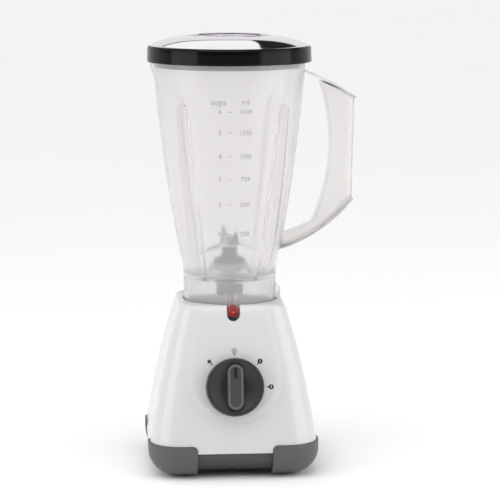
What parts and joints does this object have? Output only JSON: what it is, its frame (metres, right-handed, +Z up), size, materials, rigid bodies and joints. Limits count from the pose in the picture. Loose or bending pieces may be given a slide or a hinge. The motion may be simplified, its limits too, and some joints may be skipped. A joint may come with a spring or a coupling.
{
  "type": "countertop blender",
  "caption": "Countertop blender: graduated frosted jar with handle, spout, blades and chrome-topped lid on a tapering white motor base with dial and corner shoes.",
  "frame": {"origin": "on the table, under the drive axis", "axes": "+Z up along the drive axis, -Y out of the front with the control knob, +X towards the jar handle"},
  "size_m": [0.2044, 0.1706, 0.4199],
  "materials": {
    "white_gloss": "gloss moulded plastic",
    "dark_shoe": "satin moulded plastic",
    "black_gloss": "polished moulded plastic",
    "black_inner": "moulded plastic",
    "dark_knob": "satin moulded plastic",
    "knob_mark": "gloss insert",
    "soft_rubber": "moulded rubber",
    "seal_rubber": "moulded silicone",
    "red_lock": "gloss moulded plastic",
    "jar_plastic": "frosted translucent plastic",
    "cap_plastic": "clear plastic",
    "blade_steel": "ground stainless steel",
    "plain_steel": "turned steel",
    "lamination_steel": "stacked electrical steel",
    "chrome_plate": "polished chrome plate",
    "copper_wire": "enamelled copper wire",
    "cast_alloy": "die-cast alloy",
    "brass_metal": "pressed brass",
    "carbon_block": "pressed carbon"
  },
  "bodies": {
    "base": {"motor_housing": "white_gloss", "rear_right_shoe": "dark_shoe", "rear_left_shoe": "dark_shoe", "front_left_shoe": "dark_shoe", "front_right_shoe": "dark_shoe", "bottom_tray": "black_inner", "rubber_feet": "soft_rubber", "tray_screws": "plain_steel", "cord_gland": "soft_rubber", "terminal_block": "black_inner", "suppression_capacitor": "black_inner", "stator_core": "lamination_steel", "field_coils": "copper_wire", "upper_bracket": "cast_alloy", "lower_bracket": "cast_alloy", "upper_bearing": "plain_steel", "lower_bearing": "plain_steel", "motor_bolts": "plain_steel", "motor_grommets": "soft_rubber", "mount_screws": "plain_steel", "brush_holders": "brass_metal", "carbon_brushes": "carbon_block", "brush_springs": "plain_steel", "shaft_seal": "soft_rubber", "switch_body": "black_inner", "switch_nut": "plain_steel", "lock_bracket": "black_inner", "lock_spring": "plain_steel", "interlock_switch": "black_inner"},
    "rotor": {"armature_shaft": "plain_steel", "armature_core": "lamination_steel", "armature_windings": "copper_wire", "commutator": "copper_wire", "cooling_fan": "black_inner", "drive_star": "plain_steel"},
    "knob": {"control_knob": "dark_knob", "knob_pointer": "knob_mark", "switch_shaft": "plain_steel"},
    "lock": {"lock_slider": "red_lock"},
    "jar": {"jar_body": "jar_plastic", "jar_handle": "jar_plastic", "blade_carrier": "black_inner", "carrier_gasket": "seal_rubber", "carrier_nut": "black_inner", "lower_bush": "brass_metal", "upper_bush": "brass_metal", "spindle_seal": "seal_rubber"},
    "blades": {"blade_spindle": "plain_steel", "lower_blade": "blade_steel", "upper_blade": "blade_steel", "blade_washer": "plain_steel", "blade_nut": "plain_steel", "drive_coupling": "black_inner"},
    "lid": {"lid_body": "black_gloss", "lid_gasket": "seal_rubber", "lid_chrome_cover": "chrome_plate"},
    "cap": {"filler_cap": "cap_plastic"}
  },
  "joints": [
    {"name": "motor_spin", "type": "hinge", "parent": "base", "child": "rotor", "pos_m": [0, 0, 0.08], "axis": [0, 0, 1], "continuous": true},
    {"name": "knob_turn", "type": "hinge", "parent": "base", "child": "knob", "pos_m": [0, -0.07015, 0.0888], "axis": [0, 0.9763, -0.2166], "range_deg": [-45, 90]},
    {"name": "lock_slide", "type": "slide", "parent": "base", "child": "lock", "axis": [0, 0, -1], "range_m": [0, 0.003], "stiffness_N_per_m": 300, "springref_m": -0.002, "deforming": ["lock_spring"]},
    {"name": "jar_lift", "type": "slide", "parent": "base", "child": "jar", "axis": [0, 0, 1], "range_m": [0, 0.06]},
    {"name": "blade_spin", "type": "hinge", "parent": "jar", "child": "blades", "pos_m": [0, 0, 0.21], "axis": [0, 0, 1], "continuous": true},
    {"name": "lid_lift", "type": "slide", "parent": "jar", "child": "lid", "axis": [0, 0, 1], "range_m": [0, 0.04]},
    {"name": "cap_lift", "type": "slide", "parent": "lid", "child": "cap", "axis": [0, 0, 1], "range_m": [0, 0.035]}
  ],
  "couplings": [
    {"joint": "blade_spin", "follows": "motor_spin", "ratio": 1}
  ]
}
